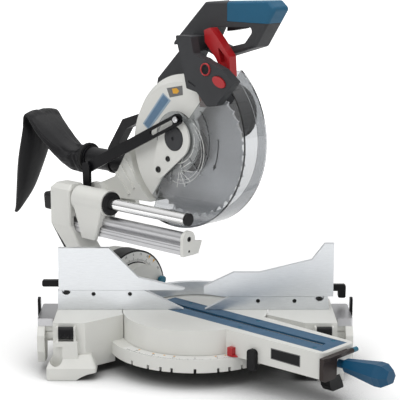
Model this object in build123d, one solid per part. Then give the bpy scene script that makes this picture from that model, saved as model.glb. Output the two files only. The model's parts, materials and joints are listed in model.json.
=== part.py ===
from build123d import *
import os
from math import atan2, cos, degrees, hypot, pi, radians, sin

os.makedirs("parts", exist_ok=True)

# Sliding compound mitre saw, in millimetres.
# Frame: X right along the fence, Y to the back, Z up, origin on the floor under the turntable's pivot.
# Everything that the turntable carries is drawn with the arm straight to the front, then turned to the mitre.

# Main sizes
table_height = 82.0
mitre_angle = 47.0
turntable_radius = 110.8
turn_gap = 1.2
lift_gap = 0.4
fence_half = 210.0
wall = 5.0
slip = 0.3
fit = 0.05

# Base
scale_radius = 131.5
scale_drop = 37.5
skirt_height = 19.2
wing_front = -70.0
wing_rear = 62.0
neck_front = -22.0
neck_rear = -4.0
neck_x = 104.0
flare_front_x = 163.0
flare_rear_x = 176.0
base_gap = 12.0
foot_height = 18.0
arch_radius = 60.0
rubber_height = 5.0
bolt_x = 206.0
bolt_y = 79.0
bolt_radius = 4.5
rubber_x = 188.0
rubber_radius = 8.0
pivot_radius = 8.0
notch_angles = (0.0, 15.0, 22.5, 31.6, 45.0)
lock_x = 191.0
lock_width = 22.0

# Fences
fence_thick = 10.0
left_fence_height = 30.5
right_fence_height = 20.5
upper_left_height = 96.9
upper_right_height = 103.7
yoke_radius = 80.0
yoke_thick = 9.0
yoke_height = 22.0
tongue_thick = 5.5
tongue_low = 17.0

# Extension wings
extension_out = 25.0
extension_rod_radius = 5.0
extension_rod_y = (-34.0, 18.0)
extension_rod_drop = 28.0
extension_rod_end = 147.0
stop_thick = 4.0
stop_y = 2.0
stop_drop = -5.0
stop_pin_radius = 2.0

# Turntable arm
arm_end = -276.0
arm_root_half = 44.0
arm_tip_half = 37.0
arm_height = 38.0
insert_half = 28.0
insert_rear = 70.0
insert_front = -268.0
insert_thick = 3.0
kerf_half = 4.5
trough_half = 20.0
trough_depth = 31.0
lever_gap = 0.9
grip_length = 76.0
grip_radius = 18.0

# Bevel joint and column
bevel_boss_radius = 50.0
bevel_boss_y = 114.0
bevel_boss_thick = 19.0
bevel_hub_radius = 26.0
stop_pin_x = 38.0
stop_pin_z = 20.0
bevel_shaft_radius = 10.0
drum_radius = 70.0
drum_front = 135.0
drum_rear = 164.0
column_rear = 188.0
drum_floor_drop = 34.0
drum_foot_half = 50.0
drum_shoulder_drop = 12.0

# Rails and carriage
rail_x = -68.0
tube_height = 160.0
tube_radius = 9.0
tube_wall = 2.0
rail_front = -52.0
rail_pitch = 29.0
knob_drop = 14.0
bar_height = tube_height - rail_pitch
carrier_half = 11.0
carrier_low = bar_height - 23.0
carrier_high = bar_height - 6.0
block_front = 186.0
block_rear = 232.0
block_high = tube_height + 21.0
block_half = 20.0
carriage_front = 114.0
carriage_rear = 182.0
boss_radius = 20.0
bearing_radius = 13.0

# Head
pivot_y = 180.0
pivot_z = 165.0
pivot_pin_radius = 7.0
barrel_half = 29.0
barrel_radius = 14.0
ear_thick = 8.0
bridge_drop = 22.0
bridge_thick = 12.0
blade_y = 6.0
blade_z = 252.0
blade_radius = 105.0
blade_thick = 2.6
blade_teeth = 40
tooth_depth = 5.0
bore_radius = 15.0
guard_y = 12.0
guard_z = 268.0
guard_radius = 135.0
guard_wall = 2.5
guard_left = -29.0
guard_right = 20.5
guard_low_angle = -113.0
guard_high_angle = 50.0
guard_hub_radius = 24.0
guard_room = 2.3
blade_room = 5.0
case_radius = blade_radius + blade_room
case_left = -24.0
case_right = 14.0
case_wall = 3.5
plate_right = 17.8
plate_radius = 88.0
fence_room = 49.0
head_travel = 47.2
motor_y = 44.0
motor_z = 288.0
motor_radius = 44.0
motor_end = 128.0
gear_case_right = 38.0
gear_teeth = 36
pinion_teeth = 10
link_left = -43.7
link_thick = 4.0
link_width = 17.0
link_rear_y = 190.0
link_rear_z = 204.0
link_front_y = -4.0
link_front_z = 299.0
duct_radius = 17.0
duct_z = 209.5
duct_end = 236.0
handle_left = -8.0
handle_right = 26.0
grip_front = -164.0
grip_rear = -70.0
grip_low = 443.0
grip_thick = 3.0


def table(z):
    """Height above the floor of a height above the table."""
    return table_height + z


def block(x0, x1, y0, y1, z0, z1):
    """Box between two corners."""
    return Pos((x0 + x1) / 2, (y0 + y1) / 2, (z0 + z1) / 2) * Box(x1 - x0, y1 - y0, z1 - z0)


def rod_x(x0, x1, y, z, radius):
    return Pos((x0 + x1) / 2, y, z) * Rot(0, 90, 0) * Cylinder(radius, x1 - x0)


def rod_y(y0, y1, x, z, radius):
    return Pos(x, (y0 + y1) / 2, z) * Rot(90, 0, 0) * Cylinder(radius, y1 - y0)


def rod_z(z0, z1, x, y, radius):
    return Pos(x, y, (z0 + z1) / 2) * Cylinder(radius, z1 - z0)


def outline(points, radius=0.0):
    """Closed face through the points, with its corners rounded."""
    face = make_face(Polyline(*points, close=True))
    if radius > 0:
        face = fillet(face.vertices(), radius)
    return face


def side_slab(face, x0, x1):
    """Face drawn in (y, z), as thick as x0 to x1."""
    return extrude(Plane.YZ.offset(x0) * face, x1 - x0)


def front_slab(face, y0, y1):
    """Face drawn in (x, z), as thick as y0 to y1."""
    plane = Plane(origin=(0, y1, 0), x_dir=(1, 0, 0), z_dir=(0, -1, 0))
    return extrude(plane * face, y1 - y0)


def plan_slab(face, z0, z1):
    return extrude(Plane.XY.offset(z0) * face, z1 - z0)


def mirrored(shape):
    return mirror(shape, Plane.YZ)


def ray(y, z, radius, angle):
    """Point at an angle above the front horizontal, round a centre in the side view."""
    return (y - radius * cos(radians(angle)), z + radius * sin(radians(angle)))


def save(shape, node, turned=False):
    if turned:
        shape = Rot(0, 0, mitre_angle) * shape
    export_step(shape, f"parts/{node}.step")


# Base


def wing_face():
    return outline([
        (neck_x, neck_front),
        (flare_front_x, wing_front),
        (fence_half + 1, wing_front),
        (fence_half + 1, wing_rear),
        (flare_rear_x, wing_rear),
        (neck_x, neck_rear),
    ])


def foot_section(z, x0, x1, y0, y1):
    face = fillet(Rectangle(x1 - x0, y1 - y0).vertices(), 5)
    return Plane.XY.offset(z) * (Pos((x0 + x1) / 2, (y0 + y1) / 2) * face)


def flared_foot(front):
    """Flared foot at a corner of the wing, with a sloping top and a raised arch beside it."""
    x0 = rubber_x - 42
    x1 = fence_half + 10
    sign = -1 if front else 1
    inner = abs(wing_front) - 8 if front else wing_rear - 8
    y_low = sorted((sign * inner, sign * (bolt_y + 12)))
    y_high = sorted((sign * inner, sign * (abs(wing_front) + 4 if front else wing_rear + 4)))
    slope = loft([
        foot_section(foot_height, x0, x1, *y_low),
        foot_section(foot_height + 16, x0 + 8, fence_half + 1, *y_high),
    ], ruled=True)
    pad = extrude(foot_section(0, x0, x1, *y_low), foot_height)
    arch = Pos(x0 - 6, 0, -arch_radius + base_gap) * Rot(90, 0, 0) * Cylinder(arch_radius, 3 * fence_half)
    return slope + pad - arch


def make_base():
    rim_top = table(-scale_drop)
    rim_low = rim_top - skirt_height
    disc = rod_z(rim_low, rim_top, 0, 0, scale_radius)
    wing = plan_slab(wing_face(), base_gap, table_height)
    pilaster = block(lock_x - 17, lock_x + 17, wing_front - 9, wing_front, base_gap, table(-26))
    ears = [flared_foot(True), flared_foot(False)]
    lug_half = 1.5
    lug_mid = lock_width / 2 + slip + lug_half
    lock_ears = [
        block(lock_x + s * lug_mid - lug_half, lock_x + s * lug_mid + lug_half,
              wing_front - 9, wing_front, table(-26), table(-4))
        for s in (-1, 1)
    ]
    side = wing + pilaster + ears + lock_ears
    hollow = plan_slab(offset(wing_face(), -wall), 0, table_height - wall)
    hollow -= rod_z(0, table_height, 0, 0, scale_radius)
    side -= hollow
    for y in extension_rod_y:
        side -= rod_x(fence_half - 20, fence_half + 2, y, table(-extension_rod_drop),
                      extension_rod_radius + fit)
    for y in (-bolt_y, bolt_y):
        side -= rod_z(0, foot_height + 30, bolt_x, y, bolt_radius)
        side -= rod_z(foot_height - 4, foot_height + 30, bolt_x, y, bolt_radius + 5)
        side -= rod_z(0, rubber_height + 3, rubber_x, y, rubber_radius)
    side -= rod_x(lock_x - 20, lock_x + 20, wing_front - 6, table(-9), 2.5 + fit)
    base = disc + side + mirrored(side)
    base -= rod_z(rim_top, table_height + 1, 0, 0, turntable_radius + turn_gap)
    base -= rod_z(0, rim_top - wall, 0, 0, scale_radius - wall) - rod_z(0, rim_top, 0, 0, pivot_radius + 16)
    base -= rod_z(0, table_height, 0, 0, pivot_radius)
    for angle in notch_angles:
        for sign in (-1, 1):
            notch = Pos(0, -scale_radius, rim_low + 3) * Box(4, 14, 6.2)
            base -= Rot(0, 0, sign * angle) * notch
    save(base, "base_casting")


def make_rubber_feet():
    feet = [
        rod_z(0, rubber_height + 3, sx * rubber_x, sy * bolt_y, rubber_radius)
        for sx in (-1, 1) for sy in (-1, 1)
    ]
    save(Compound(children=feet), "rubber_feet")


def make_pivot_bolt():
    rim_top = table(-scale_drop)
    shank = rod_z(rim_top - skirt_height - 2, rim_top + 22, 0, 0, pivot_radius)
    head = rod_z(rim_top - skirt_height - 8, rim_top - skirt_height - 2, 0, 0, pivot_radius + 6)
    lower = rod_z(rim_top - skirt_height - 2, rim_top - skirt_height, 0, 0, pivot_radius + 10)
    save(shank + head + lower, "pivot_bolt")


def make_lower_fence():
    low = table(slip)
    left = outline([
        (-fence_half, low),
        (-18, low),
        (-78, table(left_fence_height)),
        (-fence_half, table(left_fence_height)),
    ])
    right = outline([
        (15, low),
        (fence_half - 5, low),
        (fence_half - 7, table(right_fence_height)),
        (53, table(right_fence_height)),
    ])
    fence = front_slab(left, 0, fence_thick) + front_slab(right, 0, fence_thick)
    ring = rod_z(table(1.5), table(yoke_height), 0, 0, yoke_radius + yoke_thick)
    ring -= rod_z(table_height, table(yoke_height + 1), 0, 0, yoke_radius)
    ring -= block(-fence_half, fence_half, -fence_half, fence_thick - 2, table_height, table(yoke_height + 1))
    left_top = table(left_fence_height)
    ring -= block(-fence_half, 0, -1, fence_thick + 20, left_top, left_top + yoke_height)
    ring -= block(0, fence_half, -1, fence_thick + 1, table(right_fence_height - 3), table(yoke_height + 1))
    shelf = block(150, fence_half - 6, fence_thick, 34, low, table(8))
    fence += ring + shelf + mirrored(shelf)
    post_y = fence_thick + tongue_thick + 2 * slip
    left_post = block(-fence_half + 4, -fence_half + 18, post_y, post_y + 10, low, table(42))
    right_post = block(fence_half - 20, fence_half - 6, post_y, post_y + 10, low, table(34))
    fence += left_post + right_post
    fence -= rod_y(post_y - 1, post_y + 11, -fence_half + 11, table(34), 3 + fit)
    fence -= rod_y(post_y - 1, post_y + 11, fence_half - 13, table(27), 3 + fit)
    for x, z in ((-155.4, 24.8), (-99.7, 24.8), (96, 13.7), (151.9, 13.7)):
        fence -= rod_y(-1, 4, x, table(z), 3.2)
    for x, z in ((-197.0, left_fence_height), (190.0, right_fence_height)):
        fence -= rod_y(-1, 6, x, table(z), 7)
    save(fence, "lower_fence")


def make_upper_fences():
    low = table(left_fence_height + slip)
    left = outline([
        (-fence_half + 1.5, low),
        (-20, low),
        (-15.6, low + 2.5),
        (-86.6, table(50.4)),
        (-131.7, table(upper_left_height)),
        (-fence_half + 1.5, table(upper_left_height)),
    ])
    tongue_y = fence_thick + slip
    plate = front_slab(left, 0, fence_thick - 1)
    tongue = block(-fence_half + 14, -100, tongue_y, tongue_y + tongue_thick, table(tongue_low), table(60))
    web = block(-fence_half + 14, -100, fence_thick - 2, tongue_y + tongue_thick, low, table(60))
    save(plate + tongue + web, "upper_fence_left")
    low = table(right_fence_height + slip)
    right = outline([
        (13.1, low + 5),
        (40, low),
        (fence_half + 1, low),
        (fence_half + 1, table(upper_right_height)),
        (fence_half - 13, table(upper_right_height)),
        (178, table(78.4)),
        (98.7, table(58.5)),
        (58.8, table(58.5)),
        (13.1, table(36.4)),
    ])
    plate = front_slab(right, 0, fence_thick - 1)
    tongue = block(100, fence_half - 14, tongue_y, tongue_y + tongue_thick, table(tongue_low), table(52))
    web = block(100, fence_half - 14, fence_thick - 2, tongue_y + tongue_thick, low, table(52))
    save(plate + tongue + web, "upper_fence_right")


def clamp_lever(hub_x, z, tip_x, drop):
    """Clamp lever that turns on a pin through its post behind the fence."""
    post_y = fence_thick + tongue_thick + 2 * slip
    y0 = post_y + 10 + slip
    hub = rod_y(y0, y0 + 9, hub_x, z, 8)
    pin = rod_y(post_y + 1, y0 + 2, hub_x, z, 3)
    bar = block(min(hub_x, tip_x), max(hub_x, tip_x), y0, y0 + 8, z - 5, z + 5)
    bar = fillet(bar.edges().filter_by(Axis.Y), 3)
    lever = hub + pin + bar
    if drop > 0:
        leg = block(tip_x - 12, tip_x, y0, y0 + 8, z - drop, z)
        lever += fillet(leg.edges().filter_by(Axis.Y).group_by(Axis.Z)[0], 3)
    return lever


def make_fence_levers():
    save(clamp_lever(-fence_half + 11, table(34), -fence_half - 27, 0), "fence_lever_left")
    save(clamp_lever(fence_half - 13, table(27), fence_half + 23, 16), "fence_lever_right")


def make_extension(side):
    x0 = fence_half + 1 + slip
    x1 = x0 + extension_out
    top = table(-0.3)
    seat = table(-12)
    plate = block(x0, x1, -46, 34, seat, top)
    plate = fillet(plate.edges().filter_by(Axis.Z), 3)
    plate -= rod_x(x1 - 8, x1 + 1, stop_y, table(stop_drop), stop_pin_radius)
    leg = outline([
        (-58, table(-24)),
        (-48, seat),
        (30, seat),
        (30, table(-20)),
        (-12, table(-26)),
        (-22, 14),
        (-48, 14),
        (-58, 34),
    ], 4)
    shape = side_slab(leg, x1 - 11, x1) + block(x0, x1, -44, 30, seat - 8, seat)
    for y in extension_rod_y:
        shape += rod_x(extension_rod_end, x1 - 4, y, table(-extension_rod_drop), extension_rod_radius)
        shape += rod_x(x0, x1 - 4, y, table(-extension_rod_drop), extension_rod_radius + 5)
    save(shape if side > 0 else mirrored(shape), "wing_right" if side > 0 else "wing_left")
    save(plate if side > 0 else mirrored(plate), "wing_plate_right" if side > 0 else "wing_plate_left")


def make_flip_stop(side):
    x0 = fence_half + 1 + slip + extension_out + slip
    half = 6
    low = table(stop_drop - 6)
    high = table(right_fence_height - 1)
    face = outline([
        (stop_y - half, low),
        (stop_y + half, low),
        (stop_y + half, high),
        (stop_y - half, high),
    ], half - 1)
    stop = side_slab(face, x0, x0 + stop_thick)
    stop += rod_x(x0 - 7, x0 + 1, stop_y, table(stop_drop), stop_pin_radius - fit)
    stop -= block(x0 + stop_thick - 1.5, x0 + stop_thick, stop_y - 3.5, stop_y + 3.5, table(4), high - 3)
    save(stop if side > 0 else mirrored(stop), "flip_stop_right" if side > 0 else "flip_stop_left")


def make_wing_lock(side):
    pin_y = wing_front - 6
    pin_z = table(-9)
    x0 = lock_x - lock_width / 2
    x1 = lock_x + lock_width / 2
    barrel = rod_x(x0, x1, pin_y, pin_z, 5)
    tab = outline([
        (pin_y - 5, pin_z + 1),
        (pin_y + 2, pin_z + 4),
        (pin_y + 1, pin_z - 13),
        (pin_y - 3, pin_z - 13.5),
        (pin_y - 7, pin_z - 8),
    ], 1.5)
    lever = barrel + side_slab(tab, x0, x1) + rod_x(x0 - 3, x1 + 3, pin_y, pin_z, 2.5)
    for i in range(3):
        lever -= block(x0 + 3 + 6 * i, x0 + 6 + 6 * i, pin_y - 9, pin_y - 5, pin_z - 15, pin_z - 4)
    save(lever if side > 0 else mirrored(lever), "wing_lock_right" if side > 0 else "wing_lock_left")


# Turntable


def arm_face(inset=0.0):
    return outline([
        (-arm_root_half + inset, -60),
        (-arm_tip_half + inset, arm_end + inset),
        (arm_tip_half - inset, arm_end + inset),
        (arm_root_half - inset, -60),
    ])


def make_turntable():
    low = table(-scale_drop) + lift_gap
    disc = rod_z(low, table_height, 0, 0, turntable_radius)
    arm = plan_slab(arm_face(), table(-arm_height), table_height)
    corner = arm.edges().filter_by(Axis.Z).sort_by(Axis.Y)[:2]
    arm = fillet(corner, 12)
    arm -= rod_z(0, low, 0, 0, scale_radius + 1)
    rear_x = 44
    rear = block(-rear_x, rear_x, 60, bevel_boss_y + bevel_boss_thick, low + 1.5, table(-1.5))
    boss_face = rod_y(bevel_boss_y, bevel_boss_y + bevel_boss_thick, 0, table_height, bevel_boss_radius)
    boss_face -= block(-bevel_boss_radius, bevel_boss_radius, 0, 2 * bevel_boss_y, 0, low + 1.5)
    hub = rod_y(bevel_boss_y, drum_rear - 10, 0, table_height, bevel_hub_radius)
    shape = disc + arm
    shape -= rod_z(0, table(-8), 0, 0, turntable_radius - 8)
    shape -= plan_slab(arm_face(wall), 0, table(-8))
    shape += rear + rod_z(low, table(-6), 0, 0, pivot_radius + 14)
    keep = rod_z(low, table(-6), 0, 0, turntable_radius - 7)
    spoke = block(-3, 3, 20, turntable_radius - 7, low + 3, table(-6))
    ribs = [Rot(0, 0, 60 * i + 30) * spoke for i in range(6)]
    shape += [rib & keep for rib in ribs]
    shape -= block(-fence_half, fence_half, bevel_boss_y + bevel_boss_thick, 2 * bevel_boss_y,
                   0, table_height + 1)
    shape += boss_face + hub
    shape -= block(-trough_half, trough_half, insert_front + 14, insert_rear - 8,
                   table(-trough_depth), table_height)
    shape -= block(-insert_half - slip, insert_half + slip, insert_front - slip, insert_rear + slip,
                   table(-insert_thick), table_height + 1)
    shape -= rod_z(0, table(-scale_drop + 24), 0, 0, pivot_radius + fit)
    shape -= rod_y(bevel_boss_y + 2, drum_rear, 0, table_height, bevel_shaft_radius + fit)
    shape -= rod_y(arm_end - 1, arm_end + wall + 1, 0, table(-22), 6 + fit)
    shape -= rod_y(bevel_boss_y - 1, bevel_boss_y + 6, stop_pin_x, table(stop_pin_z), 4)
    save(shape, "turntable_casting", True)


def make_insert():
    plate = block(-insert_half, insert_half, insert_front, insert_rear,
                  table(-insert_thick), table_height - 0.2)
    slot = block(-kerf_half, kerf_half, insert_front + 18, insert_rear - 12, 0, table_height)
    plate -= fillet(slot.edges().filter_by(Axis.Z), kerf_half - 0.5)
    for y in (-109, -249, 30):
        for x in (-21.5, 21.5):
            plate -= rod_z(table(-1.2), table_height, x, y, 3.6)
    save(plate, "kerf_insert", True)


def make_pointer():
    x0 = -arm_root_half - 3.2
    y0 = -turntable_radius - 9
    base = block(x0 - 3, x0 + 5.5, y0, y0 + 9, table(-scale_drop + 1.2), table(-scale_drop + 14))
    tip = outline([(x0 - 3, y0), (x0 + 5.5, y0), (x0 + 1.2, y0 - 8)])
    pointer = base + plan_slab(tip, table(-scale_drop + 1.2), table(-scale_drop + 3))
    pointer -= plan_slab(arm_face(), 0, table_height)
    save(pointer, "mitre_pointer", True)


def make_handle_and_lever():
    z = table(-22)
    y0 = arm_end - 12
    stations = ((0, 0.55), (0.12, 0.62), (0.72, 1.0), (0.86, 0.97), (1.0, 0.6))
    faces = []
    for share, size in stations:
        plane = Plane(origin=(0, y0 - share * grip_length, z), x_dir=(1, 0, 0), z_dir=(0, -1, 0))
        faces.append(plane * RegularPolygon(size * grip_radius, 6))
    grip = loft(faces, ruled=True)
    stem = rod_y(y0 - 4, arm_end + wall + 10, 0, z, 6)
    save(grip + stem, "mitre_handle", True)
    back = arm_end - lever_gap
    plate = outline([
        (14, back),
        (14, arm_end - 7),
        (-8, arm_end - 10),
        (-34, arm_end - 10),
        (-46, arm_end - 6),
        (-46, back),
    ])
    axle_y = arm_end - 4.5
    axle_z = table(-8)
    lever = plan_slab(plate, axle_z, axle_z + 4)
    skirt = block(-46, -15.5, arm_end - 8, back, axle_z - 30, axle_z + 4)
    lever += fillet(skirt.edges().filter_by(Axis.Y).group_by(Axis.Z)[0], 6)
    lever += rod_x(-46, 24, axle_y, axle_z, 4 - slip)
    lever -= rod_x(10, 25, axle_y, axle_z, 2.4 + fit)
    save(lever, "detent_lever", True)
    pin = rod_x(12, 34, axle_y, axle_z, 2.4)
    save(pin + rod_x(24 + slip, 34, axle_y, axle_z, 3.6), "detent_pin", True)


def make_arm_fittings():
    top = table(-arm_height)
    half = arm_tip_half - 1
    flange = block(-half, half, arm_end + 13, arm_end + 30, top - 4, top)
    leg = outline([(-6, top - 3), (16, top - 3), (26, 24), (30, 14), (4, 14), (-2, 22)], 2)
    save(flange + front_slab(leg, arm_end + 13, arm_end + 30), "arm_foot", True)
    x = -arm_root_half + 2.2
    tab = outline([(-162, table(-50)), (-147, table(-50)), (-147, table(-18)), (-162, table(-18))], 6)
    save(side_slab(tab, x - 7, x), "arm_clip", True)
    knob = rod_y(bevel_boss_y - 8.5, bevel_boss_y - 3, stop_pin_x, table(stop_pin_z), 6)
    stem = rod_y(bevel_boss_y - 4, bevel_boss_y + 6, stop_pin_x, table(stop_pin_z), 4)
    save(knob + stem, "bevel_stop_pin", True)


# Bevel column and rails


def section_at(z, x0, x1, y0, y1, radius):
    face = Rectangle(x1 - x0, y1 - y0)
    face = fillet(face.vertices(), radius)
    return Plane.XY.offset(z) * (Pos((x0 + x1) / 2, (y0 + y1) / 2) * face)


def make_column():
    disc = rod_y(drum_rear, column_rear, 0, table_height, drum_radius - 2)
    disc -= block(-fence_half, fence_half, 0, 2 * column_rear, 0, table(-drum_floor_drop))
    corner = block(-fence_half, -drum_foot_half, 0, 2 * column_rear, 0, table(-drum_shoulder_drop))
    disc -= corner + mirrored(corner)
    x0 = rail_x - block_half
    x1 = rail_x + block_half - 2
    lower = loft([
        section_at(table(6), -62, 18, drum_rear, column_rear, 4),
        section_at(table(66), x0 + 6, x1 + 12, drum_rear - 8, column_rear + 2, 4),
        section_at(table(116), x0, x1, block_front, block_rear, 4),
    ], ruled=True)
    upper = loft([
        section_at(table(116), x0, x1, block_front, block_rear, 4),
        section_at(table(block_high - 8), x0, x1, block_front, block_rear, 4),
        section_at(table(block_high), x0 + 7, x1 - 7, block_front + 3, block_rear - 7, 4),
    ], ruled=True)
    column = disc + lower + upper
    column -= rod_y(block_front - 1, block_rear - 4, rail_x, table(tube_height), tube_radius)
    column -= rod_y(block_front - 1, block_rear - 4, rail_x, table(bar_height), tube_radius)
    column -= rod_y(drum_rear - 1, column_rear + 30, 0, table_height, bevel_shaft_radius)
    column -= rod_y(column_rear, column_rear + 30, 0, table_height, bevel_shaft_radius + 8)
    column -= rod_y(block_rear - 12, block_rear + 1, rail_x, table(tube_height - knob_drop), 4 + fit)
    column -= block(rail_x - carrier_half - slip, rail_x + carrier_half + slip,
                    drum_rear - 20, block_front + 6, table(carrier_low - slip), table(bar_height))
    save(column, "column_casting", True)
    shaft = rod_y(bevel_boss_y + 3, column_rear + 6, 0, table_height, bevel_shaft_radius)
    nut = rod_y(column_rear, column_rear + 10, 0, table_height, bevel_shaft_radius + 7)
    save(shaft + nut, "bevel_shaft", True)
    drum = rod_y(drum_front, drum_rear, 0, table_height, drum_radius)
    drum -= rod_y(drum_front + wall, drum_rear + 1, 0, table_height, drum_radius - wall)
    drum -= rod_y(0, drum_rear + 1, 0, table_height, bevel_hub_radius + 1.5)
    drum -= block(-fence_half, fence_half, 0, 2 * drum_rear, 0, table(-drum_floor_drop))
    drum -= lower + corner + mirrored(corner)
    save(drum, "bevel_cover", True)
    rear0 = column_rear + 2 + slip
    rear1 = block_rear + slip
    cover = outline([
        (rear0, table(66)),
        (rear1, table(116)),
        (rear1, table(124)),
        (rear1 + 4, table(124)),
        (rear1 + 4, table(114)),
        (rear0 + 4, table(64)),
    ])
    save(side_slab(cover, rail_x - 14, rail_x + 14), "column_cover", True)
    knob_z = table(tube_height - knob_drop)
    body = rod_y(block_rear + slip, block_rear + 12, rail_x, knob_z, 9)
    lobe = outline([
        (rail_x - 8, knob_z - 14),
        (rail_x + 8, knob_z - 14),
        (rail_x + 10, knob_z + 14),
        (rail_x - 10, knob_z + 14),
    ], 5)
    knob = body + front_slab(lobe, block_rear + 9, block_rear + 26)
    knob += rod_y(block_rear - 11, block_rear + 2, rail_x, knob_z, 4)
    save(knob, "bevel_lock_knob", True)


def carrier_face(grow):
    z0 = table(carrier_low) - grow
    z1 = table(carrier_high) + grow
    half = carrier_half + grow
    return outline([
        (rail_x - half, z0),
        (rail_x + half, z0),
        (rail_x + half, z1 - 3),
        (rail_x + 4 + grow, z1),
        (rail_x + 4 + grow, table(bar_height)),
        (rail_x - 4 - grow, table(bar_height)),
        (rail_x - 4 - grow, z1),
        (rail_x - half, z1 - 3),
    ])


def make_rails():
    tube = rod_y(rail_front + 4, block_rear - 4, rail_x, table(tube_height), tube_radius)
    tube -= rod_y(rail_front, block_rear, rail_x, table(tube_height), tube_radius - tube_wall)
    save(tube, "upper_rail", True)
    cap = rod_y(rail_front, rail_front + 4, rail_x, table(tube_height), tube_radius + 0.5)
    cap += rod_y(rail_front + 3, rail_front + 14, rail_x, table(tube_height), tube_radius - tube_wall)
    save(cap, "rail_cap", True)
    bar = rod_y(rail_front + 6, block_rear - 4, rail_x, table(bar_height), tube_radius)
    bar += front_slab(carrier_face(0), rail_front + 6, block_front)
    for z in (carrier_low + 6, carrier_low + 11):
        for side in (-1, 1):
            x = rail_x + side * carrier_half
            bar -= block(x - 1.2, x + 1.2, rail_front, block_front + 1, table(z), table(z + 2))
    save(bar, "lower_rail", True)
    half = carrier_half + 1.5
    low = table(carrier_low - 1.5)
    head = table(bar_height)
    x0, x1 = rail_x - half, rail_x + half
    sides = Polyline((x0, head), (x0, low), (x1, low), (x1, head))
    face = make_face(sides + ThreePointArc((x1, head), (rail_x, head + half), (x0, head)))
    plate = front_slab(face, rail_front, rail_front + 6)
    fin = outline([(rail_x + half - 1, low), (rail_x + half + 8, low), (rail_x + half + 16, low + 18),
                   (rail_x + half - 1, low + 20)], 0)
    plate += front_slab(fin, rail_front + 1, rail_front + 6)
    plate -= rod_y(rail_front - 1, rail_front + 2, rail_x, head, 4)
    plate -= rod_y(rail_front - 1, rail_front + 2, rail_x, table(carrier_low + 5), 2)
    save(plate, "lower_rail_cap", True)


# Carriage


def make_carriage():
    boss = rod_y(carriage_front, carriage_rear, rail_x, table(tube_height), boss_radius)
    leg = loft([
        section_at(table(tube_height - 4), rail_x - 19, rail_x + 19,
                   carriage_front + 1, carriage_rear - 1, 3),
        section_at(table(carrier_low - 6), rail_x - 16.5, rail_x + 16.5,
                   carriage_front + 18, carriage_rear - 18, 3),
    ], ruled=True)
    guide = front_slab(carrier_face(slip), carriage_front - 1, carriage_rear + 1)
    guide += rod_y(carriage_front - 1, carriage_rear + 1, rail_x, table(bar_height), tube_radius + 0.08)
    guide += block(rail_x - carrier_half - slip, rail_x + carrier_half + slip,
                   carriage_front - 1, carriage_rear + 1, table(carrier_low - 8), table(carrier_low))
    ear_x = barrel_half + slip
    bridge_top = table(pivot_z - bridge_drop)
    bridge_low = bridge_top - bridge_thick
    ear_face = outline([
        (pivot_y - 15, table(pivot_z + 4)),
        (pivot_y - 8, table(pivot_z + 15)),
        (pivot_y + 8, table(pivot_z + 15)),
        (pivot_y + 15, table(pivot_z + 4)),
        (pivot_y + 15, bridge_low),
        (pivot_y - 24, bridge_low),
    ], 3)
    left_ear = side_slab(ear_face, -ear_x - ear_thick, -ear_x)
    right_ear = side_slab(ear_face, ear_x, ear_x + ear_thick)
    bridge = block(rail_x + 12, ear_x + ear_thick, pivot_y - 8, pivot_y + 15, bridge_low, bridge_top)
    arm = block(rail_x + 10, -ear_x - 2, pivot_y - 24, carriage_rear - 2, bridge_low, table(pivot_z - 4))
    carriage = boss + leg + left_ear + right_ear + bridge + arm
    carriage -= guide
    carriage -= rod_y(carriage_front - 1, carriage_rear + 1, rail_x, table(tube_height), bearing_radius)
    carriage -= rod_x(-60, 60, pivot_y, table(pivot_z), pivot_pin_radius)
    carriage -= block(-200, 200, carriage_rear + slip, block_rear, 0, table(400)) & block(
        -200, rail_x + block_half + 1, 0, 400, 0, table(400))
    save(carriage, "carriage_casting", True)
    bearing = rod_y(carriage_front + 6, carriage_rear - 4, rail_x, table(tube_height), bearing_radius)
    bearing -= rod_y(carriage_front, carriage_rear, rail_x, table(tube_height), tube_radius + fit)
    save(bearing, "linear_bearing", True)
    seal = rod_y(carriage_front - 4, carriage_front, rail_x, table(tube_height), boss_radius - 2)
    seal += rod_y(carriage_front - 1, carriage_front + 6, rail_x, table(tube_height), bearing_radius)
    seal -= rod_y(carriage_front - 5, carriage_front + 7, rail_x, table(tube_height), tube_radius + slip)
    save(seal, "bearing_seal", True)
    pin = rod_x(-ear_x - ear_thick, ear_x + ear_thick + 6, pivot_y, table(pivot_z), pivot_pin_radius)
    save(pin + rod_x(ear_x + ear_thick, ear_x + ear_thick + 5, pivot_y, table(pivot_z), pivot_pin_radius + 5),
         "head_pivot_pin", True)
    x1 = link_left - slip
    lug = outline([
        (link_rear_y - 8, bridge_top),
        (link_rear_y + 5, bridge_top),
        (link_rear_y + 8, table(link_rear_z + 6)),
        (link_rear_y, table(link_rear_z + 9)),
        (link_rear_y - 8, table(link_rear_z + 4)),
    ])
    bracket = side_slab(lug, x1 - 5, x1)
    bracket += block(x1 - 5, -ear_x - ear_thick, carriage_rear, pivot_y + 15, bridge_top, bridge_top + 9)
    bracket += rod_x(x1 - 4, link_left + link_thick + 1.5, link_rear_y, table(link_rear_z), 4)
    save(bracket, "link_bracket", True)


# Head


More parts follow.
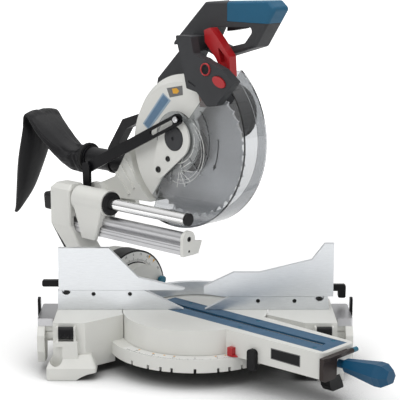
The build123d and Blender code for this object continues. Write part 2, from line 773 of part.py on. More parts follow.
def make_upper_guard():
    y, z = blade_y, table(blade_z)
    gy, gz = guard_y, table(guard_z)
    a = ray(y, z, case_radius, 52)
    b = ray(y, z, case_radius, 140)
    c = ray(y, z, case_radius, 232)
    d = ray(gy, gz, 62, -116)
    e = ray(gy, gz, 48, -60)
    f = ray(gy, gz, 48, 40)
    face = make_face(ThreePointArc(a, b, c) + Line(c, d) + ThreePointArc(d, e, f) + Line(f, a))
    shell = side_slab(face, case_left, case_right)
    rim = shell.edges().filter_by(GeomType.CIRCLE).group_by(Axis.X)[0].sort_by(SortBy.LENGTH)[-1]
    shell = chamfer(rim, 13, 11)
    cone = Solid.make_cone(case_radius - case_wall - 13, case_radius - case_wall, 12,
                           Plane(origin=(case_left + case_wall, y, z), x_dir=(0, 1, 0), z_dir=(1, 0, 0)))
    cavity = rod_x(case_left + case_wall + 11.9, case_right + 1, y, z, case_radius - case_wall) + cone
    shell -= cavity
    shell += rod_x(guard_left - 1, case_left + 1, gy, gz, guard_hub_radius)
    save(shell, "upper_guard", True)


def sector(y, z, r0, r1, a0, a1, x0, x1):
    """Ring sector between two radii and two angles above the front horizontal."""
    mid = (a0 + a1) / 2
    outer = ThreePointArc(ray(y, z, r1, a0), ray(y, z, r1, mid), ray(y, z, r1, a1))
    inner = ThreePointArc(ray(y, z, r0, a1), ray(y, z, r0, mid), ray(y, z, r0, a0))
    face = make_face(outer + Line(outer @ 1, inner @ 0) + inner + Line(inner @ 1, outer @ 0))
    return side_slab(face, x0, x1)


def make_lower_guard():
    """Clear guard: a side with raised ribs, a rim and a lip, joined by thin glue lines."""
    y, z = guard_y, table(guard_z)
    low, high = guard_low_angle, guard_high_angle
    inner = guard_left + guard_wall
    outer = guard_right - guard_wall
    side = sector(y, z, guard_hub_radius + 14, guard_radius, low, high, guard_left, inner)
    side += rod_x(guard_left, inner, y, z, guard_hub_radius + 16)
    for radius in (46, 66):
        side += sector(y, z, radius, radius + 2, low, high - 8, guard_left - 1.2, guard_left + 1)
    for angle in range(-100, 40, 28):
        rib = block(guard_left - 1.2, guard_left + 1, y - 72, y - 38, z - 0.9, z + 0.9)
        side += Pos(0, y, z) * Rot(-angle, 0, 0) * Pos(0, -y, -z) * rib
    side -= rod_x(guard_left - 2, guard_left + 4, y, z, guard_hub_radius + fit)
    rim = sector(y, z, guard_radius - guard_wall, guard_radius, low, high, inner + fit, outer - fit)
    lip = sector(y, z, guard_radius - 17, guard_radius, low, high, outer, guard_right)
    save(Compound(children=[side, rim, lip]), "lower_guard", True)


def make_hub():
    y, z = guard_y, table(guard_z)
    x0 = guard_left - 1.2 - 0.3
    tail = ray(y, z, 60, guard_low_angle - 9.5)
    circles = Pos(y, z) * Circle(31) + Pos(*tail) * Circle(13)
    plate = make_hull(circles.edges())
    cover = side_slab(plate, x0 - 3, x0)
    cover += rod_x(x0 - 1, guard_left - 1, y, z, guard_hub_radius - 2)
    cover += rod_x(x0 - 1, case_left, tail[0], tail[1], 8)
    cover -= rod_x(x0 - 4, x0 - 1.6, y, z, 19)
    save(cover, "hub_cover", True)
    cap = rod_x(x0 - 5, x0 - 1.6, y, z, 18.6)
    cap = chamfer(cap.edges().group_by(Axis.X)[0], 1.5)
    cap -= rod_x(x0 - 6, x0 - 3, y, z, 3)
    save(cap, "hub_cap", True)


def make_link():
    dy = link_rear_y - link_front_y
    dz = link_rear_z - link_front_z
    length = hypot(dy, dz)
    middle = ((link_rear_y + link_front_y) / 2, table((link_rear_z + link_front_z) / 2))
    strip = SlotCenterToCenter(length, link_width) - Pos(-length / 2 + 36, 0) * SlotCenterToCenter(44, 8)
    strip -= Pos(length / 2, 0) * Circle(4 + fit)
    face = Pos(*middle) * Rot(0, 0, degrees(atan2(dz, dy))) * strip
    link = side_slab(face, link_left, link_left + link_thick)
    link += rod_x(link_left - 3, link_left + link_thick, link_front_y, table(link_front_z), 5)
    save(link, "link_arm", True)


def head_arm_face():
    py, pz = pivot_y, table(pivot_z)
    return outline([
        (52, table(163)),
        (py - 20, table(158)),
        (py, pz - barrel_radius),
        (py + barrel_radius, pz),
        (py, pz + barrel_radius),
        (150, table(192)),
        (122, table(236)),
        (96, table(262)),
    ])


def chop_side(distance):
    """What lies towards the table when the head is down, from a distance off the blade's centre."""
    down_y = -sin(radians(head_travel))
    down_z = -cos(radians(head_travel))
    reach = 3 * case_radius
    corners = ((distance, -reach), (reach, -reach), (reach, reach), (distance, reach))
    y, z = blade_y, table(blade_z)
    return outline([(y + down_y * a - down_z * b, z + down_z * a + down_y * b) for a, b in corners])


def make_head_arm():
    y, z = blade_y, table(blade_z)
    py, pz = pivot_y, table(pivot_z)
    profile = head_arm_face()
    arm = side_slab(profile, case_left, case_right)
    arm -= rod_x(case_left - 1, case_right + 1, y, z, case_radius + slip)
    plate = rod_x(case_right + slip, plate_right, y, z, plate_radius)
    plate -= side_slab(chop_side(fence_room), case_right, plate_right + 1)
    bridge = side_slab(profile, case_right - 0.5, plate_right)
    bridge -= rod_x(case_left, case_right + slip, y, z, case_radius + slip)
    shape = arm + (plate + bridge) + rod_x(-barrel_half, barrel_half, py, pz, barrel_radius)
    for i in range(4):
        rib = block(case_left - 3, case_left + 1, -22, 22, -1.5, 1.5)
        rib = Pos(0, 132 - 11 * i, table(184 + 11 * i)) * Rot(48, 0, 0) * rib
        shape += rib & side_slab(profile, case_left - 4, case_left + 2) - rod_x(
            case_left - 5, case_right, y, z, case_radius + slip)
    shape -= rod_x(-60, 60, py, pz, pivot_pin_radius + fit)
    shape -= rod_x(0, 60, y, z, 12 + fit)
    save(shape, "head_arm", True)


def gear_face(count, module):
    """Straight-sided gear outline of a tooth count and a module."""
    root, tip = count / 2 - 1.2, count / 2 + 0.8
    points = []
    for i in range(count):
        for shift, radius in ((-0.3, root), (-0.14, tip), (0.14, tip), (0.3, root)):
            angle = 2 * pi * (i + shift) / count
            points.append((radius * module * cos(angle), radius * module * sin(angle)))
    return outline(points)


def gear_module():
    centres = hypot(motor_y - blade_y, motor_z - blade_z)
    return 2 * centres / (gear_teeth + pinion_teeth)


def make_motor():
    y, z = blade_y, table(blade_z)
    my, mz = motor_y, table(motor_z)
    module = gear_module()
    gear_outer = module * (gear_teeth / 2 + 1)
    x0 = plate_right + slip
    circles = Pos(y, z) * Circle(gear_outer + wall + 1) + Pos(my, mz) * Circle(motor_radius + 2)
    case = side_slab(make_hull(circles.edges()), x0, gear_case_right)
    inner = Pos(y, z) * Circle(gear_outer + 1) + Pos(my, mz) * Circle(module * (pinion_teeth / 2 + 1) + 1)
    case -= side_slab(make_hull(inner.edges()), x0 - 1, gear_case_right - 6)
    body = rod_x(gear_case_right, motor_end, my, mz, motor_radius)
    for i in range(12):
        fin = block(gear_case_right, motor_end - 6, my - 2, my + 2,
                    mz + motor_radius - 3, mz + motor_radius + 2.5)
        body += Pos(0, my, mz) * Rot(30 * i, 0, 0) * Pos(0, -my, -mz) * fin
    body -= rod_x(gear_case_right + wall, motor_end + 1, my, mz, motor_radius - wall)
    shaft_hole = rod_x(0, motor_end, my, mz, 6 + fit)
    case -= shaft_hole
    case -= rod_x(0, gear_case_right + 1, y, z, 12 + fit) & rod_x(0, gear_case_right - 2, y, z, 30)
    save(case, "gear_case", True)
    save(body - shaft_hole, "motor_housing", True)
    cap = rod_x(motor_end, motor_end + 22, my, mz, motor_radius)
    cap = chamfer(cap.edges().group_by(Axis.X)[-1], 9)
    cap -= rod_x(motor_end - 1, motor_end + 16, my, mz, motor_radius - wall)
    socket = rod_x(motor_end + 4, motor_end + 18, my, mz, 14)
    cap += socket - rod_x(motor_end, motor_end + 14, my, mz, 6 + fit)
    for i in range(8):
        vent = block(motor_end + 4, motor_end + 12, my - 5, my + 5, mz + 30, mz + 60)
        cap -= Pos(0, my, mz) * Rot(45 * i, 0, 0) * Pos(0, -my, -mz) * vent
    save(cap, "motor_cap", True)
    phase = degrees(atan2(mz - z, my - y))
    gear = Pos(y, z) * Rot(0, 0, phase) * gear_face(gear_teeth, module)
    turn = phase + 180 + 180 / pinion_teeth
    pinion = Pos(my, mz) * Rot(0, 0, turn) * gear_face(pinion_teeth, module)
    armature = side_slab(pinion, x0 + 4, gear_case_right - 8)
    armature += rod_x(x0 + 4, motor_end + 13, my, mz, 6)
    armature += rod_x(gear_case_right + 18, motor_end - 14, my, mz, motor_radius - wall - 12)
    save(armature, "armature", True)
    spindle = side_slab(gear, x0 + 5, gear_case_right - 9)
    spindle += rod_x(-blade_thick / 2, gear_case_right - 3, y, z, 12)
    spindle += rod_x(blade_thick / 2, blade_thick / 2 + 5, y, z, 26)
    spindle += rod_x(-blade_thick / 2, blade_thick / 2, y, z, bore_radius)
    spindle += rod_x(-blade_thick / 2 - 5, -blade_thick / 2, y, z, 24)
    spindle += rod_x(-blade_thick / 2 - 10, -blade_thick / 2 - 5, y, z, 8)
    save(spindle, "spindle", True)


def make_blade():
    root = blade_radius - tooth_depth
    points = []
    for i in range(blade_teeth):
        for share, radius in ((0.0, blade_radius), (0.12, root), (0.5, root)):
            angle = 2 * pi * (i + share) / blade_teeth
            points.append((blade_y + radius * cos(angle), table(blade_z) + radius * sin(angle)))
    blade = side_slab(outline(points), -blade_thick / 2, blade_thick / 2)
    blade -= rod_x(-5, 5, blade_y, table(blade_z), bore_radius)
    save(blade, "blade", True)


def guard_sweep(x1):
    """Space that the lower guard turns through, up to a side of it."""
    return rod_x(-3 * guard_radius, x1, guard_y, table(guard_z), guard_radius + guard_room)


def handle_loop():
    return outline([
        (-26, table(469)),
        (-146, table(475)),
        (-159, table(464)),
        (-122, table(409)),
        (-54, table(389)),
        (-12, table(396)),
        (46, table(400)),
    ], 6)


def softened(slab, radius):
    """Slab in the side view with both of its outlines rounded over."""
    rims = slab.faces().filter_by(Axis.X).edges()
    return fillet(rims, radius)


def make_handle():
    body = softened(side_slab(handle_loop(), handle_left, handle_right), 5)
    window = outline([
        (-40, table(433)),
        (-124, table(438)),
        (-104, table(414)),
        (-58, table(403)),
        (-28, table(412)),
    ], 6)
    body -= side_slab(window, handle_left - 1, handle_right + 1)
    neck = outline([
        (-26, table(469)),
        (100, table(346)),
        (104, table(326)),
        (96, table(motor_z + 24)),
        (36, table(motor_z + 24)),
        (40, table(350)),
        (8, table(402)),
        (-18, table(436)),
    ])
    neck = side_slab(neck, handle_right - 4, handle_right + 20)
    neck -= rod_x(0, motor_end, motor_y, table(motor_z), motor_radius + 2.7 + slip)
    module = gear_module()
    circles = Pos(blade_y, table(blade_z)) * Circle(module * (gear_teeth / 2 + 1) + wall + 1 + slip)
    circles += Pos(motor_y, table(motor_z)) * Circle(motor_radius + 2 + slip)
    neck -= side_slab(make_hull(circles.edges()), plate_right, gear_case_right + slip)
    handle = body + neck - guard_sweep(guard_right + guard_room)
    handle -= block(-1, 19, -92, -58, table(429), table(452))
    band = block(handle_left - 1, handle_right + 1, grip_front, grip_rear, table(grip_low), table(480))
    core = side_slab(offset(handle_loop(), -grip_thick), handle_left + grip_thick, handle_right - grip_thick)
    handle -= band - core
    save(handle, "handle_body", True)
    sleeve = softened(side_slab(handle_loop(), handle_left, handle_right), 5)
    sleeve &= block(handle_left, handle_right, grip_front + slip, grip_rear - slip,
                    table(grip_low + slip), table(480))
    sleeve -= side_slab(offset(handle_loop(), slip / 2 - grip_thick), handle_left + grip_thick - slip / 2,
                        handle_right - grip_thick + slip / 2)
    save(sleeve, "handle_grip", True)


def make_triggers():
    trigger = outline([
        (-90, table(446)),
        (-84, table(446)),
        (-80, table(440)),
        (-64, table(440)),
        (-63, table(428)),
        (-74, table(430)),
        (-90, table(433)),
    ], 1.5)
    save(side_slab(trigger, 0, 18), "trigger", True)
    lever = outline([
        (-39, table(430)),
        (-51, table(434)),
        (-68, table(418)),
        (-88, table(395)),
        (-90, table(364)),
        (-73, table(374)),
        (-62, table(391)),
        (-41, table(413)),
    ], 1.5)
    x0 = handle_left - 15
    x1 = handle_left - slip
    lever = side_slab(lever, x0, x1) - guard_sweep(x1 + 1)
    recess = outline([(-66, table(408)), (-84, table(392)), (-84, table(376)), (-72, table(386))], 1)
    lever -= side_slab(recess, x0 - 1, x0 + 9)
    save(lever, "lock_off_lever", True)


def make_light():
    x0 = -46
    x1 = guard_left - 1.2 - 0.5
    face = outline([
        (-4, table(422)),
        (-34, table(422)),
        (-40, table(398)),
        (-70, table(387)),
        (-94, table(379)),
        (-117, table(362)),
        (-82, table(326)),
        (-66, table(324)),
        (-46, table(343)),
        (-26, table(347)),
        (-20, table(372)),
    ], 2.5)
    housing = side_slab(face, x0, x1)
    foot = outline([(-4, table(400)), (-33, table(400)), (-33, table(421)), (-4, table(421))])
    housing += side_slab(foot, x1 - 1, handle_left) - guard_sweep(0)
    lamp = Plane(origin=(-38, -60, table(384)), x_dir=(1, 0, 0), z_dir=(0, -0.55, 0.84)) * Cylinder(7, 14)
    housing += lamp
    button = Pos(-90, table(361)) * Rot(0, 0, 22)
    housing -= side_slab(button * Ellipse(13, 7.5), x0 - 1, x0 + 6)
    groove = outline([(-30, table(356)), (-44, table(350)), (-44, table(353)), (-30, table(359))])
    housing -= side_slab(groove, x0 - 1, x0 + 1.5)
    save(housing, "light_housing", True)
    save(side_slab(button * Ellipse(12.5, 7), x0 - 2, x0 + 3), "light_button", True)


def make_rear_fittings():
    bar = outline([
        (112, table(280)),
        (108, table(294)),
        (150, table(280)),
        (186, table(228)),
        (172, table(222)),
        (142, table(266)),
    ], 3)
    carry = side_slab(bar, -6, 10)
    carry -= rod_x(-50, 50, blade_y, table(blade_z), case_radius + slip)
    carry -= rod_y(0, duct_end, 0, table(duct_z), duct_radius + 2 + slip)
    save(carry, "carry_handle", True)
    duct = rod_y(110, duct_end, 0, table(duct_z), duct_radius)
    duct += rod_y(duct_end - 8, duct_end, 0, table(duct_z), duct_radius + 2)
    duct += rod_y(172, 177, 0, table(duct_z), duct_radius + 2)
    trim = outline([(94, table(280)), (178, table(148)), (0, table(148)), (0, table(280))])
    duct -= side_slab(trim, -50, 50)
    duct -= rod_y(168, duct_end + 1, 0, table(duct_z), duct_radius - 3)
    save(duct, "dust_duct", True)


def bag_length(sections):
    """Cloth sleeve through oval sections given as y, z, half width, half thickness and tilt."""
    faces = []
    for y, z, half_x, half_z, tilt in sections:
        normal = (0, cos(radians(tilt)), sin(radians(tilt)))
        plane = Plane(origin=(0, duct_end + y, table(duct_z + z)), x_dir=(1, 0, 0), z_dir=normal)
        faces.append(plane * Ellipse(half_x, half_z))
    return loft(faces)


def make_dust_bag():
    """Cloth bag that rises from the duct, folds over and hangs to a point."""
    mouth = duct_radius + 3
    riser = bag_length((
        (10, 0, mouth, mouth, 0),
        (42, 10, 27, 20, 34),
        (80, 40, 33, 16, 42),
        (114, 66, 34, 8, 36),
    ))
    hanger = bag_length((
        (104, 60, 34, 9, -40),
        (133, 30, 33, 14, -68),
        (151, -16, 28, 15, -74),
        (170, -66, 18, 11, -72),
        (198, -112, 5, 4, -62),
    ))
    collar = rod_y(duct_end + slip, duct_end + 11, 0, table(duct_z), duct_radius + 2)
    save(riser + hanger + collar, "dust_bag", True)


make_base()
make_rubber_feet()
make_pivot_bolt()
make_lower_fence()
make_upper_fences()
make_fence_levers()
for side in (-1, 1):
    make_extension(side)
    make_flip_stop(side)
    make_wing_lock(side)
make_turntable()
make_insert()
make_pointer()
make_handle_and_lever()
make_arm_fittings()
make_column()
make_rails()
make_carriage()
make_upper_guard()
make_lower_guard()
make_hub()
make_link()
make_head_arm()
make_motor()
make_blade()
make_handle()
make_triggers()
make_light()
make_rear_fittings()
make_dust_bag()
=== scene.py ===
import json
import math

import bmesh
import bpy
from mathutils import Matrix, Vector
from mathutils import noise as mnoise


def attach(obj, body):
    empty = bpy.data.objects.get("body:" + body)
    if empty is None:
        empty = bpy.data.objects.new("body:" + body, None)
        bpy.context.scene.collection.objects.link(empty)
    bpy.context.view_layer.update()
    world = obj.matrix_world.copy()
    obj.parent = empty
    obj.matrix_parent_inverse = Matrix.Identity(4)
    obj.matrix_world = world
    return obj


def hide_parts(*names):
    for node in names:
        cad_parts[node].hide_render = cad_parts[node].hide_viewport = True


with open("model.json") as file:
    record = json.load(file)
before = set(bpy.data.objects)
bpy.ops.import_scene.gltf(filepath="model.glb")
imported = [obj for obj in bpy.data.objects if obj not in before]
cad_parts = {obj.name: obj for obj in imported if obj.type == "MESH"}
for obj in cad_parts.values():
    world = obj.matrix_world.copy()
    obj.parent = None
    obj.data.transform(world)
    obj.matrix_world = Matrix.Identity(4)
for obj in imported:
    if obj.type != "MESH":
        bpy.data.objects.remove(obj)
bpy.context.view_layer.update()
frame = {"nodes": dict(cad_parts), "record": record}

# The shared frame is in metres, with Z up from the floor.
# The arm's own frame is turned about Z with the mitre.
MM = 0.001
TABLE = 0.082
MITRE = math.radians(47.0)
TURN = Matrix.Rotation(MITRE, 4, "Z")
UP = Vector((0, 0, 1))

# Places of the solid model, in millimetres of the arm's own frame, with heights above the table
BLADE_Y, BLADE_Z = 6, 252
BLADE_SIDE = -1.3
GUARD_Y, GUARD_Z = 12, 268
GUARD_SIDE = -29
CASE_SIDE = -24
HUB_SIDE = -33.5
LAMP_SIDE = -45.5
LINK_SIDE = -46.7
DRUM_FACE = 135
RAIL_X = -68
RAIL_END = -50
BAG_MOUTH = 236.0
BAG_HEIGHT = 209.5

# Height of the mitre scale above the floor, in metres
SCALE_TOP = 0.0445


def turned(x, y, z):
    """Place in the arm's own frame, from millimetres with the height above the table."""
    return TURN @ Vector((x * MM, y * MM, TABLE + z * MM))


def straight(x, y, z):
    """Place in the base's frame, from millimetres with the height above the table."""
    return Vector((x * MM, y * MM, TABLE + z * MM))


def heading(x, y, z):
    """Direction in the arm's own frame."""
    return (TURN.to_3x3() @ Vector((x, y, z))).normalized()


# Shader nodes

NOISE_SPAN = (0.3, 0.7)


def principled(name, **values):
    mat = bpy.data.materials.new(name)
    mat.use_nodes = True
    bsdf = mat.node_tree.nodes["Principled BSDF"]
    for key, value in values.items():
        socket = bsdf.inputs[key.replace("_", " ")]
        if isinstance(value, tuple) and len(value) == 3:
            value = (*value, 1.0)
        socket.default_value = value
    return mat, mat.node_tree, bsdf


def link(tree, a, b):
    tree.links.new(a, b)


def coords(tree, place=None, stretch=(1, 1, 1)):
    """Object coordinates, or coordinates about a place whose local frame is turned with the arm."""
    source = tree.nodes.new("ShaderNodeTexCoord")
    mapping = tree.nodes.new("ShaderNodeMapping")
    mapping.vector_type = "TEXTURE"
    if place is not None:
        mapping.inputs["Location"].default_value = TURN @ Vector(place)
        mapping.inputs["Rotation"].default_value = (0, 0, MITRE)
    link(tree, source.outputs["Object"], mapping.inputs["Vector"])
    shaped = tree.nodes.new("ShaderNodeMapping")
    shaped.inputs["Scale"].default_value = stretch
    link(tree, mapping.outputs["Vector"], shaped.inputs["Vector"])
    return shaped.outputs["Vector"]


def noise_node(tree, vector, scale, detail=3.0, rough=0.55):
    node = tree.nodes.new("ShaderNodeTexNoise")
    node.inputs["Scale"].default_value = scale
    node.inputs["Detail"].default_value = detail
    node.inputs["Roughness"].default_value = rough
    link(tree, vector, node.inputs["Vector"])
    return node.outputs["Fac"]


def wave_node(tree, vector, scale, distortion):
    node = tree.nodes.new("ShaderNodeTexWave")
    node.inputs["Scale"].default_value = scale
    node.inputs["Distortion"].default_value = distortion
    link(tree, vector, node.inputs["Vector"])
    return node


def ramp_node(tree, factor, stops):
    node = tree.nodes.new("ShaderNodeValToRGB")
    ramp = node.color_ramp
    while len(ramp.elements) < len(stops):
        ramp.elements.new(0.5)
    for element, (where, colour) in zip(ramp.elements, stops):
        element.position = where
        element.color = (*colour, 1.0)
    link(tree, factor, node.inputs["Fac"])
    return node.outputs["Color"]


def range_node(tree, value, source, target, kind="LINEAR"):
    """Value moved from one range to another."""
    node = tree.nodes.new("ShaderNodeMapRange")
    node.interpolation_type = kind
    labels = ("From Min", "From Max", "To Min", "To Max")
    for label, limit in zip(labels, (*source, *target)):
        node.inputs[label].default_value = limit
    link(tree, value, node.inputs["Value"])
    return node.outputs["Result"]


def bump_node(tree, bsdf, factor, strength, distance, below=None):
    node = tree.nodes.new("ShaderNodeBump")
    node.inputs["Strength"].default_value = strength
    node.inputs["Distance"].default_value = distance
    link(tree, factor, node.inputs["Height"])
    if below is not None:
        link(tree, below, node.inputs["Normal"])
    link(tree, node.outputs["Normal"], bsdf.inputs["Normal"])
    return node.outputs["Normal"]


def math_node(tree, operation, first, second):
    """Sum on two values, each a socket or a number."""
    node = tree.nodes.new("ShaderNodeMath")
    node.operation = operation
    for socket, value in zip(node.inputs, (first, second)):
        if isinstance(value, float):
            socket.default_value = value
        else:
            link(tree, value, socket)
    return node.outputs[0]


def vector_node(tree, operation, first, second=None):
    """Sum on a socket and a fixed vector."""
    node = tree.nodes.new("ShaderNodeVectorMath")
    node.operation = operation
    link(tree, first, node.inputs[0])
    if second is not None:
        node.inputs[1].default_value = second
    return node


def tint(colour, factor):
    return tuple(min(1.0, c * factor) for c in colour)


def tinted(tree, factor, colour, low, high, span=NOISE_SPAN):
    """Colour between a darker and a lighter tint, over the middle of a noise."""
    return ramp_node(tree, factor, [(span[0], tint(colour, low)), (span[1], tint(colour, high))])


# Materials


def textured(name, colour, rough, metallic=0.0, vary=0.06, patch=14.0, grain=900.0, grain_depth=0.00015,
             grain_strength=0.25, rough_vary=0.06, **more):
    """Colour that drifts in soft patches, with grain in the bump and drift in the roughness."""
    mat, tree, bsdf = principled(name, Metallic=metallic, **more)
    where = coords(tree)
    patches = noise_node(tree, where, patch, 4.0)
    link(tree, tinted(tree, patches, colour, 1 - vary, 1 + vary), bsdf.inputs["Base Color"])
    drift = noise_node(tree, where, patch * 5, 3.0)
    limits = (rough - rough_vary, rough + rough_vary)
    link(tree, range_node(tree, drift, NOISE_SPAN, limits), bsdf.inputs["Roughness"])
    fine = noise_node(tree, where, grain, 2.0)
    bump_node(tree, bsdf, fine, grain_strength, grain_depth)
    return mat


def matt(name, colour, rough, vary, grain, strength, shine):
    """Plastic, rubber or black finish with a weak reflection."""
    return textured(name, colour, rough, vary=vary, grain=grain, grain_strength=strength,
                    Specular_IOR_Level=shine)


def plate(name, colour, rough, vary):
    """Paint of a small plate."""
    return textured(name, colour, rough, vary=vary, patch=60.0, grain=1600.0, grain_strength=0.15)


def brushed(name, colour, rough, stretch, with_arm, strength=0.2):
    """Metal with fine lines along one direction."""
    mat, tree, bsdf = principled(name, Metallic=1.0)
    where = coords(tree, (0, 0, 0) if with_arm else None, stretch)
    lines = noise_node(tree, where, 60.0, 5.0, 0.7)
    link(tree, tinted(tree, lines, colour, 0.9, 1.06, (0.25, 0.75)), bsdf.inputs["Base Color"])
    limits = (rough - 0.06, rough + 0.08)
    link(tree, range_node(tree, lines, NOISE_SPAN, limits), bsdf.inputs["Roughness"])
    bump_node(tree, bsdf, lines, strength, 0.0001)
    return mat


def ringed(name, colour, rough, place):
    """Ground disc: fine rings about the spindle, seen as a soft fan of light."""
    mat, tree, bsdf = principled(name, Metallic=0.7, Anisotropic=0.85)
    where = coords(tree, place)
    here = tree.nodes.new("ShaderNodeTexCoord").outputs["Object"]
    offset = vector_node(tree, "SUBTRACT", here, TURN @ Vector(place))
    spindle = TURN.to_3x3() @ Vector((1, 0, 0))
    around = vector_node(tree, "CROSS_PRODUCT", offset.outputs["Vector"], spindle)
    link(tree, around.outputs["Vector"], bsdf.inputs["Tangent"])
    wave = wave_node(tree, where, 420.0, 6.0)
    wave.wave_type = "RINGS"
    wave.rings_direction = "X"
    wave.inputs["Detail"].default_value = 2.0
    wave.inputs["Detail Scale"].default_value = 2.0
    blur = noise_node(tree, where, 22.0, 3.0)
    link(tree, tinted(tree, blur, colour, 0.92, 1.04), bsdf.inputs["Base Color"])
    limits = (rough - 0.05, rough + 0.07)
    link(tree, range_node(tree, wave.outputs["Fac"], NOISE_SPAN, limits), bsdf.inputs["Roughness"])
    bump_node(tree, bsdf, wave.outputs["Fac"], 0.12, 0.00008)
    return mat


def cloth(name, colour):
    """Tightly woven nylon: crossing threads in the bump, with a soft sheen."""
    mat, tree, bsdf = principled(name, Sheen_Weight=0.02, Sheen_Roughness=0.4, Specular_IOR_Level=0.22)
    where = coords(tree)
    heights = []
    for direction in ("X", "Y", "Z"):
        wave = wave_node(tree, where, 330.0, 0.6)
        wave.bands_direction = direction
        heights.append(wave.outputs["Fac"])
    threads = math_node(tree, "ADD", math_node(tree, "ADD", heights[0], heights[1]), heights[2])
    patches = noise_node(tree, where, 18.0, 5.0)
    link(tree, tinted(tree, patches, colour, 0.75, 1.3), bsdf.inputs["Base Color"])
    link(tree, range_node(tree, patches, NOISE_SPAN, (0.42, 0.56)), bsdf.inputs["Roughness"])
    creases = noise_node(tree, where, 34.0, 6.0, 0.65)
    below = bump_node(tree, bsdf, creases, 0.35, 0.0022)
    bump_node(tree, bsdf, threads, 0.18, 0.00012, below)
    return mat


def clear(name):
    """Clear polycarbonate with a cool tint and faint scuffs, which lets lamp light through to the blade."""
    mat, tree, bsdf = principled(name, Base_Color=(0.47, 0.48, 0.49), Transmission_Weight=1.0, IOR=1.45,
                                 Specular_IOR_Level=0.35)
    where = coords(tree)
    scuffs = noise_node(tree, where, 60.0, 6.0, 0.7)
    link(tree, range_node(tree, scuffs, NOISE_SPAN, (0.01, 0.06)), bsdf.inputs["Roughness"])
    bump_node(tree, bsdf, scuffs, 0.05, 0.0003)
    through = tree.nodes.new("ShaderNodeBsdfTransparent")
    through.inputs["Color"].default_value = (0.86, 0.88, 0.90, 1.0)
    path = tree.nodes.new("ShaderNodeLightPath")
    mix = tree.nodes.new("ShaderNodeMixShader")
    link(tree, path.outputs["Is Shadow Ray"], mix.inputs["Fac"])
    link(tree, bsdf.outputs["BSDF"], mix.inputs[1])
    link(tree, through.outputs["BSDF"], mix.inputs[2])
    link(tree, mix.outputs["Shader"], tree.nodes["Material Output"].inputs["Surface"])
    return mat


MAT = {
    "casting": textured("cast_paint", (0.73, 0.73, 0.695), 0.42, vary=0.03, patch=9.0, grain=1400.0,
                        grain_depth=0.0002, grain_strength=0.35, rough_vary=0.05,
                        Coat_Weight=0.15, Coat_Roughness=0.25),
    "fence_alu": brushed("fence_aluminium", (0.74, 0.76, 0.78), 0.36, (1.2, 14, 14), False),
    "dark_plastic": matt("dark_plastic", (0.036, 0.037, 0.040), 0.5, 0.1, 2200.0, 0.4, 0.25),
    "black_plastic": matt("black_plastic", (0.006, 0.006, 0.007), 0.42, 0.15, 2000.0, 0.35, 0.2),
    "black_metal": matt("black_metal", (0.004, 0.004, 0.005), 0.35, 0.15, 1500.0, 0.2, 0.12),
    "blue_grip": matt("blue_grip", (0.010, 0.095, 0.18), 0.5, 0.08, 1800.0, 0.5, 0.3),
    "blue_handle": matt("blue_handle", (0.005, 0.068, 0.145), 0.36, 0.08, 1600.0, 0.2, 0.25),
    "insert_blue": matt("insert_blue", (0.035, 0.105, 0.19), 0.45, 0.08, 1500.0, 0.3, 0.25),
    "red_plastic": textured("red_plastic", (0.42, 0.012, 0.016), 0.34, vary=0.08, grain=1500.0,
                            grain_strength=0.15),
    "teal_plastic": textured("teal_plastic", (0.006, 0.14, 0.22), 0.4, vary=0.08, grain=1500.0,
                             grain_strength=0.2),
    "tube_steel": brushed("ground_tube", (0.80, 0.80, 0.80), 0.13, (60, 2, 60), True, 0.05),
    "steel": textured("bright_steel", (0.56, 0.56, 0.57), 0.3, metallic=1.0, vary=0.06, grain=1500.0,
                      grain_strength=0.1),
    "rail_alu": brushed("drawn_aluminium", (0.52, 0.52, 0.53), 0.34, (40, 1.5, 40), True),
    "clear_guard": clear("clear_polycarbonate"),
    "rubber": matt("rubber", (0.012, 0.012, 0.012), 0.7, 0.15, 1200.0, 0.4, 0.2),
    "bag_cloth": cloth("bag_cloth", (0.005, 0.005, 0.006)),
    "brass": textured("bronze", (0.45, 0.30, 0.12), 0.35, metallic=1.0, vary=0.08, grain=1200.0,
                      grain_strength=0.1),
    "bracket_brown": matt("bracket_brown", (0.026, 0.018, 0.016), 0.42, 0.12, 1600.0, 0.3, 0.25),
}
BLADE_MAT = ringed("ground_blade", (0.86, 0.86, 0.87), 0.32, (0.0, BLADE_Y * MM, TABLE + BLADE_Z * MM))
SCALE_WHITE = textured("scale_white", (0.76, 0.76, 0.74), 0.35, vary=0.03, grain=1600.0, grain_strength=0.1)
SCALE_INK = textured("scale_ink", (0.02, 0.02, 0.022), 0.5, vary=0.2, grain=2400.0, grain_strength=0.2)
SCALE_AMBER = textured("scale_amber", (0.72, 0.36, 0.02), 0.42, vary=0.06, grain=1600.0, grain_strength=0.1)
PLATE_PALE = plate("plate_pale", (0.30, 0.40, 0.50), 0.38, 0.06)
PLATE_BLUE = plate("plate_blue", (0.09, 0.18, 0.29), 0.38, 0.1)
PLATE_GREY = plate("plate_grey", (0.13, 0.13, 0.13), 0.42, 0.08)
PLATE_BROWN = plate("plate_brown", (0.16, 0.10, 0.085), 0.4, 0.08)
SCREW_BLACK = textured("screw_black", (0.02, 0.02, 0.02), 0.32, metallic=0.6, vary=0.2, patch=120.0,
                       grain=2400.0)

slot_of = {part["node"]: part["material_slot"] for part in frame["record"]["subparts"]}
for node, obj in frame["nodes"].items():
    mat = BLADE_MAT if node == "blade" else MAT[slot_of[node]]
    obj.data.materials.clear()
    obj.data.materials.append(mat)

# Forms that the small pieces are made of, in metres

SINK = 0.00005


